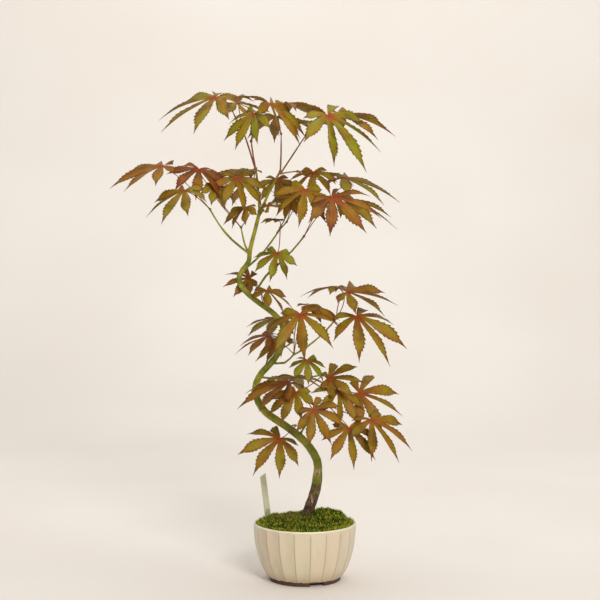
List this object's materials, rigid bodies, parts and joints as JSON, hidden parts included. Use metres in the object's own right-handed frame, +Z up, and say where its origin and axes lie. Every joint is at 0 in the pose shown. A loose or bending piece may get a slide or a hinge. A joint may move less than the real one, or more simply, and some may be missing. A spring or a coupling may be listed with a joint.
{
  "type": "potted bonsai tree",
  "caption": "Slender maple bonsai with an S-curved trunk and tiers of lobed leaves, standing in a round fluted glazed pot with moss and a blank plant label.",
  "frame": {"origin": "at the level of the pot's foot, under the middle of the whole tree's width and depth; the pot's own axis stands at x = 0.048 m, y = 0", "axes": "+Z up along the tree, +Y away from the viewer, +X to the viewer's right; the canopy leans to -X over the pot"},
  "size_m": [0.3215, 0.2039, 0.5312],
  "materials": {
    "cream_glaze": "satin cream glaze over stoneware, bare brown clay at the foot",
    "bark": "living wood with smooth olive-brown bark",
    "leaf": "thin satin leaf, olive green to red-brown",
    "moss": "matte cushion moss",
    "soil": "matte granular potting soil",
    "label_plastic": "blank pale grey-green plastic",
    "screen_plastic": "black moulded mesh",
    "wire_aluminium": "soft drawn wire"
  },
  "bodies": {
    "root": {"drain_screen": "screen_plastic", "leaf_crown_01": "leaf", "leaf_crown_02": "leaf", "leaf_crown_03": "leaf", "leaf_crown_04": "leaf", "leaf_crown_05": "leaf", "leaf_crown_06": "leaf", "leaf_crown_07": "leaf", "leaf_crown_08": "leaf", "leaf_crown_09": "leaf", "leaf_crown_10": "leaf", "leaf_lower_01": "leaf", "leaf_lower_02": "leaf", "leaf_lower_03": "leaf", "leaf_lower_04": "leaf", "leaf_lower_05": "leaf", "leaf_lower_06": "leaf", "leaf_lower_07": "leaf", "leaf_lower_08": "leaf", "leaf_lower_09": "leaf", "leaf_lower_10": "leaf", "leaf_lower_11": "leaf", "leaf_middle_01": "leaf", "leaf_middle_02": "leaf", "leaf_middle_03": "leaf", "leaf_middle_04": "leaf", "leaf_middle_05": "leaf", "leaf_middle_06": "leaf", "leaf_middle_07": "leaf", "leaf_middle_08": "leaf", "leaf_middle_09": "leaf", "leaf_middle_10": "leaf", "leaf_middle_11": "leaf", "leaf_upper_01": "leaf", "leaf_upper_02": "leaf", "leaf_upper_03": "leaf", "leaf_upper_04": "leaf", "leaf_upper_05": "leaf", "leaf_upper_06": "leaf", "leaf_upper_07": "leaf", "leaf_upper_08": "leaf", "leaf_upper_09": "leaf", "leaf_upper_10": "leaf", "leaf_upper_11": "leaf", "leaf_upper_12": "leaf", "leaf_upper_13": "leaf", "leaf_upper_14": "leaf", "leaf_upper_15": "leaf", "leaf_upper_16": "leaf", "leaf_upper_17": "leaf", "leaf_upper_18": "leaf", "leaf_upper_19": "leaf", "moss": "moss", "plant_label": "label_plastic", "pot": "cream_glaze", "screen_wire": "wire_aluminium", "soil": "soil", "trunk": "bark"}
  },
  "joints": []
}
